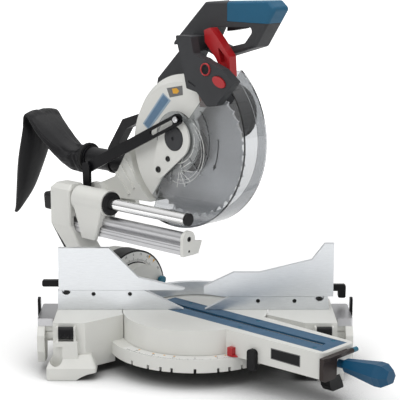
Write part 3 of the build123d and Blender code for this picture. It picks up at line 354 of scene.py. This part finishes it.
def piece(name, bm, mats, body, angle=35.0):
    bmesh.ops.recalc_face_normals(bm, faces=bm.faces)
    mesh = bpy.data.meshes.new(name)
    bm.to_mesh(mesh)
    bm.free()
    for mat in mats:
        mesh.materials.append(mat)
    for polygon in mesh.polygons:
        polygon.use_smooth = True
    mesh.set_sharp_from_angle(angle=math.radians(angle))
    obj = bpy.data.objects.new(name, mesh)
    bpy.context.collection.objects.link(obj)
    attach(obj, body)
    return obj


def lathe(bm, place, axis, profile, sides=36, mat=0):
    """Closed form about an axis from heights and radii; a radius may be a function of the angle."""
    side = axis.orthogonal().normalized()
    other = axis.cross(side)
    rings = []
    for height, radius in profile:
        ring = []
        for i in range(sides if radius else 1):
            angle = 2 * math.pi * i / sides
            reach = radius(angle) if callable(radius) else radius
            out = side * math.cos(angle) + other * math.sin(angle)
            ring.append(bm.verts.new(place + axis * height + reach * out))
        rings.append(ring)
    for low, high in zip(rings, rings[1:]):
        for i in range(sides):
            j = (i + 1) % sides
            corners = [low[i % len(low)], low[j % len(low)], high[j % len(high)], high[i % len(high)]]
            face = bm.faces.new(list(dict.fromkeys(corners)))
            face.material_index = mat


def hexagon(size):
    return lambda angle: size / math.cos((angle + math.pi / 6) % (math.pi / 3) - math.pi / 6)


def cross(length, half):
    def reach(angle):
        lean = (angle + math.pi / 4) % (math.pi / 2) - math.pi / 4
        return min(length / math.cos(lean), half / max(abs(math.sin(lean)), 1e-6))
    return reach


def screw(bm, place, axis, radius, height, drive):
    """Pan head with a real recess."""
    if drive == "hex":
        mouth, floor = hexagon(0.5 * radius), hexagon(0.47 * radius)
    else:
        mouth, floor = cross(0.68 * radius, 0.16 * radius), cross(0.5 * radius, 0.11 * radius)
    lathe(bm, place, axis, [
        (-0.3 * height, 0),
        (-0.3 * height, radius),
        (0.6 * height, radius),
        (0.88 * height, 0.93 * radius),
        (height, 0.8 * radius),
        (height, mouth),
        (0.3 * height, floor),
        (0.3 * height, 0),
    ], 48)


def slab(bm, place, u, v, points, thick, mat=0):
    """Thin plate on a surface, from an outline along two directions."""
    normal = u.cross(v).normalized()
    rows = []
    for height in (-SINK, thick):
        rows.append([bm.verts.new(place + u * a + v * b + normal * height) for a, b in points])
    count = len(points)
    faces = [bm.faces.new(rows[1]), bm.faces.new(list(reversed(rows[0])))]
    for i in range(count):
        j = (i + 1) % count
        faces.append(bm.faces.new((rows[0][i], rows[0][j], rows[1][j], rows[1][i])))
    for face in faces:
        face.material_index = mat


def polar(u, v, degrees):
    """Directions outward and along the arc, at an angle that starts at v and goes towards u."""
    angle = math.radians(degrees)
    out = u * math.sin(angle) + v * math.cos(angle)
    along = u * math.cos(angle) - v * math.sin(angle)
    return out, along


def arc_band(bm, place, u, v, r0, r1, a0, a1, steps, thick):
    """Thin ring sector between two radii and two angles."""
    normal = u.cross(v).normalized()
    section = ((r0, -SINK), (r0, thick), (r1, thick), (r1, -SINK))
    rows = []
    for i in range(steps + 1):
        out, _ = polar(u, v, a0 + (a1 - a0) * i / steps)
        rows.append([bm.verts.new(place + out * r + normal * h) for r, h in section])
    for a, b in zip(rows, rows[1:]):
        for k in range(4):
            m = (k + 1) % 4
            bm.faces.new((a[k], a[m], b[m], b[k]))
    bm.faces.new(rows[0])
    bm.faces.new(list(reversed(rows[-1])))


def tick(bm, place, u, v, angle, r0, r1, width, lift, mat):
    """Straight mark between two radii."""
    out, along = polar(u, v, angle)
    points = [(-width / 2, r0), (width / 2, r0), (width / 2, r1), (-width / 2, r1)]
    slab(bm, place, along, out, points, lift, mat)


def arrow_mark(bm, place, u, v, angle, r0, r1, width, lift, mat):
    """Triangle with its base at one radius and its point at another."""
    out, along = polar(u, v, angle)
    slab(bm, place, along, out, [(-width / 2, r0), (width / 2, r0), (0, r1)], lift, mat)


def number(bm, text, place, right, up, size, lift, mat):
    """Raised figures, centred on a place."""
    curve = bpy.data.curves.new("figures", "FONT")
    curve.body = text
    curve.size = size
    curve.align_x = "CENTER"
    curve.align_y = "CENTER"
    curve.resolution_u = 2
    curve.extrude = lift / 2
    obj = bpy.data.objects.new("figures", curve)
    bpy.context.collection.objects.link(obj)
    shape = bpy.data.meshes.new_from_object(obj.evaluated_get(bpy.context.evaluated_depsgraph_get()))
    normal = right.cross(up).normalized()
    verts = []
    for x, y, z in (vertex.co for vertex in shape.vertices):
        verts.append(bm.verts.new(place + right * x + up * y + normal * (z + lift / 2)))
    for polygon in shape.polygons:
        bm.faces.new([verts[i] for i in polygon.vertices]).material_index = mat
    bpy.data.objects.remove(obj)
    bpy.data.curves.remove(curve)
    bpy.data.meshes.remove(shape)


# Small pieces that the solids leave out

SCALE_BASE = 0.0003
MARK_TOP = 0.00042
SCALE_MATS = [SCALE_WHITE, SCALE_INK, SCALE_AMBER]
INK, AMBER = 1, 2


def tick_length(angle, step):
    """Longest at every 15 degrees, then at the scale's own step."""
    return 0.0062 if angle % 15 == 0 else 0.0046 if angle % step == 0 else 0.0030


def scale_numbers(bm, place, u, v, angles, radius, size, inward):
    """Figures on both sides of zero, with their tops outward or inward."""
    for angle in angles:
        for side in (-1, 1) if angle else (1,):
            out, along = polar(u, v, side * angle)
            right, up = (-along, -out) if inward else (along, out)
            number(bm, str(angle), place + out * radius, right, up, size, MARK_TOP, INK)


def make_mitre_scale():
    """Scale on the rim of the base."""
    tick_end = 0.1298
    place = Vector((0, 0, SCALE_TOP))
    u, v = Vector((-1, 0, 0)), Vector((0, -1, 0))
    bm = bmesh.new()
    arc_band(bm, place, u, v, 0.1138, 0.1302, -56, 56, 112, SCALE_BASE)
    for angle in range(-52, 53):
        width = 0.00045 if angle % 5 == 0 else 0.0003
        tick(bm, place, u, v, angle, tick_end - tick_length(angle, 5), tick_end, width, MARK_TOP, INK)
    for angle in (15, 22.5, 31.6, 45):
        for side in (-1, 1):
            arrow_mark(bm, place, u, v, side * angle, 0.1152, 0.1192, 0.0042, MARK_TOP, AMBER)
    scale_numbers(bm, place, u, v, (0, 15, 30, 45), 0.1212, 0.0042, True)
    piece("mitre_scale", bm, SCALE_MATS, "base")


def make_bevel_scale():
    """Scale on the front of the bevel cover."""
    tick_start = 0.0524
    place = turned(0, DRUM_FACE, 0)
    u, v = heading(1, 0, 0), UP
    bm = bmesh.new()
    arc_band(bm, place, u, v, 0.0515, 0.0672, -100, 100, 100, SCALE_BASE)
    for angle in range(-90, 91, 2):
        width = 0.0006 if angle % 10 == 0 else 0.0004
        tick(bm, place, u, v, angle, tick_start, tick_start + tick_length(angle, 10), width, MARK_TOP, INK)
    for angle in (-45, 45, 33.9, -33.9):
        arrow_mark(bm, place, u, v, angle, 0.0665, 0.0600, 0.0046, MARK_TOP, AMBER)
    scale_numbers(bm, place, u, v, (0, 15, 30, 60), 0.0632, 0.0052, False)
    piece("bevel_scale", bm, SCALE_MATS, "column")


def screw_set(name, mat, body, axis, rows):
    """One piece of several screws, each with its place, radius, height and drive."""
    bm = bmesh.new()
    for place, radius, height, drive in rows:
        screw(bm, place, axis, radius, height, drive)
    piece(name, bm, [mat], body)


def make_screws():
    left, forward = heading(-1, 0, 0), heading(0, -1, 0)
    insert = [
        (turned(x, y, -1.2), 0.0033, 0.0007, "cross")
        for x in (-21.5, 21.5)
        for y in (-249, -109, 30)
    ]
    screw_set("insert_screws", MAT["teal_plastic"], "turntable", UP, insert)
    fence = [(straight(x, 6, z), 0.0052, 0.004, "hex") for x, z in ((-197, 24.5), (190, 14.5))]
    small = ((-155.4, 24.8), (-99.7, 24.8), (96, 13.7), (151.9, 13.7))
    fence += [(straight(x, 4, z), 0.0031, 0.0028, "hex") for x, z in small]
    screw_set("fence_bolts", SCREW_BLACK, "base", Vector((0, -1, 0)), fence)
    screw_set("hub_screws", SCREW_BLACK, "head", left, [
        (turned(HUB_SIDE, 24, 236), 0.0042, 0.0018, "hex"),
        (turned(HUB_SIDE, 44.2, 217.4), 0.0048, 0.0022, "hex"),
    ])
    screw_set("link_screw", MAT["steel"], "link", left, [
        (turned(LINK_SIDE, -4, 299), 0.0046, 0.0018, "cross"),
    ])
    screw_set("rail_cap_screws", SCREW_BLACK, "column", forward, [
        (turned(RAIL_X, RAIL_END, 131), 0.0037, 0.0022, "hex"),
        (turned(RAIL_X, RAIL_END, 113), 0.0018, 0.0019, "cross"),
    ])


def make_plates():
    """Plain plates where the photograph has printed ones."""
    back, front = 0.0004, 0.0005
    u, v = heading(0, -1, 0), UP
    place = turned(CASE_SIDE, 0, 0)
    outlines = (
        (back, [(86, 282), (73.5, 272.5), (27, 322), (43, 332.5)]),
        (front, [(82.6, 282), (74.2, 275.6), (31, 322.4), (42, 329.6)]),
        (back, [(35, 340), (28.6, 326.6), (2, 332.6), (3, 346.5)]),
        (front, [(24, 340), (21.5, 333), (13, 333.8), (9, 338), (14.5, 342)]),
        (back, [(-28.6, 341), (-33.5, 318.4), (-46, 318.8), (-48.6, 331.5)]),
    )
    bm = bmesh.new()
    for mat, (thick, corners) in enumerate(outlines):
        slab(bm, place, u, v, [(-y * MM, z * MM) for y, z in corners], thick, mat)
    mats = [PLATE_PALE, PLATE_BLUE, PLATE_GREY, SCALE_AMBER, PLATE_BROWN]
    piece("case_plates", bm, mats, "head")
    along = heading(0.0324, -0.9995, 0)
    arm_half = 44 - 7 * 125 / 216
    start = turned(-arm_half, -185, 0)
    outer = [(0.0, -0.0265), (0.052, -0.0275), (0.052, -0.0105), (0.0, -0.0105)]
    inner = [(0.0012, -0.0253), (0.0508, -0.0263), (0.0508, -0.0117), (0.0012, -0.0117)]
    bm = bmesh.new()
    slab(bm, start, along, v, outer, back, 0)
    slab(bm, start, along, v, inner, front, 1)
    piece("arm_plate", bm, [PLATE_GREY, MAT["black_plastic"]], "turntable")


def make_lamp_ring():
    """Red collar round the lamp barrel on the side of its housing."""
    axis = heading(-1, 0, 0)
    place = turned(LAMP_SIDE, -64, 377)
    bm = bmesh.new()
    lathe(bm, place, axis, [
        (0, 0.0072),
        (0, 0.0092),
        (0.0022, 0.0092),
        (0.0030, 0.0086),
        (0.0030, 0.0078),
        (0.0022, 0.0072),
        (0, 0.0072),
    ], 48)
    piece("lamp_ring", bm, [MAT["red_plastic"]], "head")
    bm = bmesh.new()
    lathe(bm, place, axis, [
        (0, 0),
        (0, 0.0070),
        (0.0018, 0.0070),
        (0.0018, 0.0052),
        (0.0008, 0.0044),
        (0.0008, 0),
    ], 48)
    piece("lamp_barrel", bm, [MAT["black_plastic"]], "head")


def make_blade_flange():
    """Dark clamping flange in the middle of the blade."""
    bm = bmesh.new()
    lathe(bm, turned(BLADE_SIDE, BLADE_Y, BLADE_Z), heading(-1, 0, 0), [
        (0, 0),
        (0, 0.036),
        (0.0018, 0.036),
        (0.0026, 0.0348),
        (0.0026, 0.026),
        (0.0034, 0.025),
        (0.0034, 0),
    ], 72)
    piece("blade_flange", bm, [MAT["black_metal"]], "blade")


def make_guard_arrow():
    """Dark arrow for the way the blade turns, on the side of the clear guard."""
    thick = 0.0003
    tip = 112
    u, v = heading(0, -1, 0), UP
    place = turned(GUARD_SIDE, GUARD_Y, GUARD_Z)
    bm = bmesh.new()
    arc_band(bm, place, u, v, 0.0842, 0.0860, 85, tip, 24, thick)
    out, along = polar(u, v, tip)
    slab(bm, place, along, out, [(0.0085, 0.0848), (0, 0.0882), (0, 0.0820)], thick)
    piece("guard_arrow", bm, [SCALE_INK], "lower_guard")


def make_guard_ribs():
    """Pale lines along the moulded ribs round the hub, on the side of the clear guard: painted highlights
    where light catches the clear ribs.
    """
    thick = 0.0002
    u, v = heading(0, -1, 0), UP
    hub = turned(GUARD_SIDE, GUARD_Y, GUARD_Z)
    ring = turned(GUARD_SIDE, BLADE_Y, BLADE_Z)
    star = turned(GUARD_SIDE, 5, 221)
    bm = bmesh.new()
    # Thin white strips: painted highlights along the ribs of the clear guard.
    arc_band(bm, hub, u, v, 0.0372, 0.0381, 75, 178, 36, thick)
    arc_band(bm, ring, u, v, 0.0505, 0.0514, 35, 195, 60, thick)
    arc_band(bm, ring, u, v, 0.0458, 0.0463, 45, 185, 60, thick)
    for angle in (22, 58, 90, 122, 154, 190):
        tick(bm, star, u, v, angle, 0.004, 0.027, 0.0008, thick, 0)
    piece("guard_rib_highlights", bm, [SCALE_WHITE], "lower_guard")


# Dust bag: a sleeve that rises from the duct, folds over and hangs to a point

# Distance behind the mouth, height over it, half width, half depth and tilt in degrees
BAG_SECTIONS = (
    (-5, 0, 20.6, 20.6, 0),
    (8, 0, 21.4, 21.4, 0),
    (26, 3, 24, 21, 22),
    (50, 17, 28.5, 19, 40),
    (80, 41, 33, 16, 42),
    (103, 60, 34.5, 10.5, 30),
    (118, 65, 35, 6.5, -14),
    (127, 51, 34.5, 9, -62),
    (136, 24, 33, 13.5, -72),
    (152, -18, 28, 14.5, -74),
    (171, -68, 18, 10.5, -72),
    (190, -104, 7, 5, -66),
    (199, -116, 2.5, 2.5, -62),
)
BAG_ROWS = 84
BAG_AROUND = 72
BAG_FOLD = 0.5
HELD_ROWS = 5
CLOTH_FRAMES = 22
CLOTH_REACH = 0.010
CLOTH_SETTINGS = {
    "quality": 6,
    "mass": 0.12,
    "tension_stiffness": 14,
    "compression_stiffness": 14,
    "shear_stiffness": 5,
    "bending_stiffness": 0.12,
    "vertex_group_mass": "held",
    "shrink_min": -0.07,
    "use_pressure": True,
    "uniform_pressure_force": 0.5,
}


def between(values, share):
    """Smooth curve through rows of numbers."""
    spot = share * (len(values) - 1)
    i = min(int(spot), len(values) - 2)
    t = spot - i
    rows = [values[max(0, min(len(values) - 1, k))] for k in (i - 1, i, i + 1, i + 2)]
    result = []
    for p0, p1, p2, p3 in zip(*rows):
        result.append(0.5 * (2 * p1 + (p2 - p0) * t + (2 * p0 - 5 * p1 + 4 * p2 - p3) * t * t
                             + (3 * p1 - p0 - 3 * p2 + p3) * t ** 3))
    return result


def bag_wrinkle(share, angle):
    """How far the cloth stands off its smooth form, in millimetres."""
    ring = Vector((math.cos(angle), math.sin(angle), 0))
    # Gathers where the sleeve is tied to the duct
    gather = max(0.0, 1 - share / 0.34) * min(1.0, share / 0.07)
    lift = 2.0 * gather * math.sin(9 * angle + 3 * mnoise.noise(ring * 2))
    lift += 2.6 * gather * mnoise.noise(Vector((ring.x * 1.5, ring.y * 1.5, share * 34)))
    # Creases where it folds over
    fold = math.exp(-((share - BAG_FOLD) / 0.09) ** 2)
    lift += 1.6 * fold * mnoise.noise(Vector((ring.x * 1.2, ring.y * 1.2, share * 30)))
    # Long ridges over the rest
    ridge = 1 - abs(mnoise.noise(Vector((ring.x * 1.3 + 5, ring.y * 1.3, share * 6))))
    body = min(1.0, share / 0.15) * min(1.0, (1 - share) / 0.1)
    lift += 2.6 * body * (ridge - 0.8)
    return lift


def bag_ring(bm, share):
    """Points round the sleeve at a share of its length."""
    y, z, half_x, half_z, tilt = between(BAG_SECTIONS, share)
    flat = min(1.0, half_z / half_x)
    lean = math.radians(tilt)
    across = Vector((1, 0, 0))
    over = Vector((0, -math.sin(lean), math.cos(lean)))
    centre = Vector((0, BAG_MOUTH + y, BAG_HEIGHT + z))
    ring = []
    for k in range(BAG_AROUND):
        angle = 2 * math.pi * k / BAG_AROUND
        lift = bag_wrinkle(share, angle)
        at = centre + across * (half_x + lift) * math.cos(angle)
        at = at + over * (half_z + flat * lift) * math.sin(angle)
        ring.append(bm.verts.new(turned(at.x, at.y, at.z)))
    return ring


def make_bag():
    bm = bmesh.new()
    rings = [bag_ring(bm, i / BAG_ROWS) for i in range(BAG_ROWS + 1)]
    for low, high in zip(rings, rings[1:]):
        for k in range(BAG_AROUND):
            m = (k + 1) % BAG_AROUND
            bm.faces.new((low[k], low[m], high[m], high[k]))
    bm.faces.new(rings[-1])
    bag = piece("dust_bag_cloth", bm, [MAT["bag_cloth"]], "head", 180.0)
    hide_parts("dust_bag")
    settle(bag)
    shell = bag.modifiers.new("thickness", "SOLIDIFY")
    shell.thickness = 0.0008
    smooth = bag.modifiers.new("smooth", "SUBSURF")
    smooth.levels = 1
    smooth.render_levels = 1
    bm = bmesh.new()
    lathe(bm, turned(0, BAG_MOUTH - 4, BAG_HEIGHT), heading(0, 1, 0), [
        (0, 0.0208),
        (0, 0.0222),
        (0.0008, 0.0229),
        (0.0052, 0.0229),
        (0.006, 0.0222),
        (0.006, 0.0208),
        (0, 0.0208),
    ], 48)
    piece("bag_band", bm, [MAT["rubber"]], "head")


def settle(bag):
    """Short cloth simulation: the sleeve is a little longer than its form, so that it creases as it hangs."""
    scene = bpy.context.scene
    rest = [v.co.copy() for v in bag.data.vertices]
    held = bag.vertex_groups.new(name="held")
    for index in range(len(rest)):
        row = index // BAG_AROUND
        share = row / BAG_ROWS
        weight = 1.0 if row < HELD_ROWS else 0.25 * math.exp(-((share - BAG_FOLD) / 0.12) ** 2)
        if weight > 0.01:
            held.add([index], weight, "REPLACE")
    sim = bag.modifiers.new("cloth", "CLOTH")
    for key, value in CLOTH_SETTINGS.items():
        setattr(sim.settings, key, value)
    sim.collision_settings.use_collision = False
    sim.point_cache.frame_start = 1
    sim.point_cache.frame_end = CLOTH_FRAMES
    for step in range(1, CLOTH_FRAMES + 1):
        scene.frame_set(step)
    after = bpy.data.meshes.new_from_object(bag.evaluated_get(bpy.context.evaluated_depsgraph_get()))
    for vertex, start, end in zip(bag.data.vertices, rest, after.vertices):
        move = end.co - start
        if move.length > CLOTH_REACH:
            move = move.normalized() * CLOTH_REACH
        vertex.co = start + move
    bpy.data.meshes.remove(after)
    bag.modifiers.remove(sim)
    scene.frame_set(1)


make_mitre_scale()
make_bevel_scale()
make_screws()
make_plates()
make_lamp_ring()
make_blade_flange()
make_guard_arrow()
make_guard_ribs()
make_bag()

# Floor, light and camera

FLOOR_RADIUS = 12.0
FLOOR_DROP = 0.0004
ROOM_LIGHT = 0.36
# Name, place, target, size and power
LAMPS = (
    ("key", (-1.1, -1.5, 1.9), (0, 0, 0.25), 1.4, 22),
    ("fill", (1.6, -1.2, 1.2), (0, 0, 0.25), 1.6, 9),
    ("top", (0.1, 0.3, 2.2), (0, 0, 0.2), 1.8, 18),
)
CAMERA_PLACE = (0.0073, -1.9765, TABLE + 0.587)
CAMERA_PITCH = 0.207157
CAMERA_LENS = 120.7


def seen_ray(tree):
    """One for rays of sight, straight or through glass, and one for those by way of metal and gloss."""
    path = tree.nodes.new("ShaderNodeLightPath")
    sight, glass = path.outputs["Is Camera Ray"], path.outputs["Is Transmission Ray"]
    return math_node(tree, "MAXIMUM", sight, glass), path.outputs["Is Glossy Ray"]


def make_floor():
    """Wide pale disc that rises to plain white away from the saw and keeps its shadow, with painted shade
    that darkens it close to the saw.
    """
    bm = bmesh.new()
    bmesh.ops.create_circle(bm, cap_ends=True, segments=96, radius=FLOOR_RADIUS)
    bmesh.ops.translate(bm, verts=bm.verts, vec=(0, 0, -FLOOR_DROP))
    mesh = bpy.data.meshes.new("floor")
    bm.to_mesh(mesh)
    bm.free()
    floor = bpy.data.objects.new("floor", mesh)
    bpy.context.collection.objects.link(floor)
    mat, tree, bsdf = principled("backdrop", Roughness=0.85, Specular_IOR_Level=0.2)
    bsdf.inputs["Emission Color"].default_value = (1, 1, 1, 1)
    here = tree.nodes.new("ShaderNodeTexCoord").outputs["Object"]
    reach = vector_node(tree, "LENGTH", here).outputs["Value"]
    lift = range_node(tree, reach, (0.5, 2.4), (0.34, 1.0), "SMOOTHSTEP")
    # Painted shade: where the saw hems the floor in, occlusion darkens the floor's colour and its white lift,
    # on top of the real shadow.
    painted_shade_occlusion = tree.nodes.new("ShaderNodeAmbientOcclusion")
    painted_shade_occlusion.samples = 8
    painted_shade_occlusion.inputs["Distance"].default_value = 0.16
    painted_shade_power = math_node(tree, "POWER", painted_shade_occlusion.outputs["AO"], 2.2)
    painted_shade_colour = ramp_node(tree, painted_shade_occlusion.outputs["AO"], [(0.05, (0.10, 0.10, 0.10)), (0.8, (0.90, 0.90, 0.90))])
    link(tree, painted_shade_colour, bsdf.inputs["Base Color"])
    lift_with_painted_shade = math_node(tree, "MULTIPLY", lift, painted_shade_power)
    seen = math_node(tree, "MAXIMUM", *seen_ray(tree))
    link(tree, math_node(tree, "MULTIPLY", lift_with_painted_shade, seen), bsdf.inputs["Emission Strength"])
    mesh.materials.append(mat)


def area_light(name, place, target, size, power):
    data = bpy.data.lights.new(name, "AREA")
    data.size = size
    data.energy = power
    obj = bpy.data.objects.new(name, data)
    bpy.context.collection.objects.link(obj)
    obj.location = place
    obj.rotation_euler = (Vector(target) - Vector(place)).to_track_quat("-Z", "Y").to_euler()


def make_studio():
    """Soft lamps in a white room, which is full white to the eye and dimmer as light on the saw."""
    for lamp in LAMPS:
        area_light(*lamp)
    world = bpy.data.worlds.new("studio")
    world.use_nodes = True
    tree = world.node_tree
    sky = tree.nodes["Background"]
    sky.inputs["Color"].default_value = (1, 1, 1, 1)
    straight_on, by_gloss = seen_ray(tree)
    split = tree.nodes.new("ShaderNodeSeparateXYZ")
    link(tree, tree.nodes.new("ShaderNodeTexCoord").outputs["Generated"], split.inputs["Vector"])
    height = range_node(tree, split.outputs["Z"], (0.05, 0.6), (0.3, 1.0))
    gloss = math_node(tree, "MULTIPLY", by_gloss, height)
    strength = math_node(tree, "MAXIMUM", math_node(tree, "MAXIMUM", straight_on, gloss), ROOM_LIGHT)
    link(tree, strength, sky.inputs["Strength"])
    bpy.context.scene.world = world
    bpy.context.scene.view_settings.view_transform = "Standard"


def make_camera():
    data = bpy.data.cameras.new("camera")
    data.sensor_width = 36.0
    data.lens = CAMERA_LENS
    camera = bpy.data.objects.new("camera", data)
    bpy.context.collection.objects.link(camera)
    camera.location = CAMERA_PLACE
    camera.rotation_euler = (math.pi / 2 - CAMERA_PITCH, 0, 0)
    bpy.context.scene.camera = camera


make_floor()
make_studio()
make_camera()
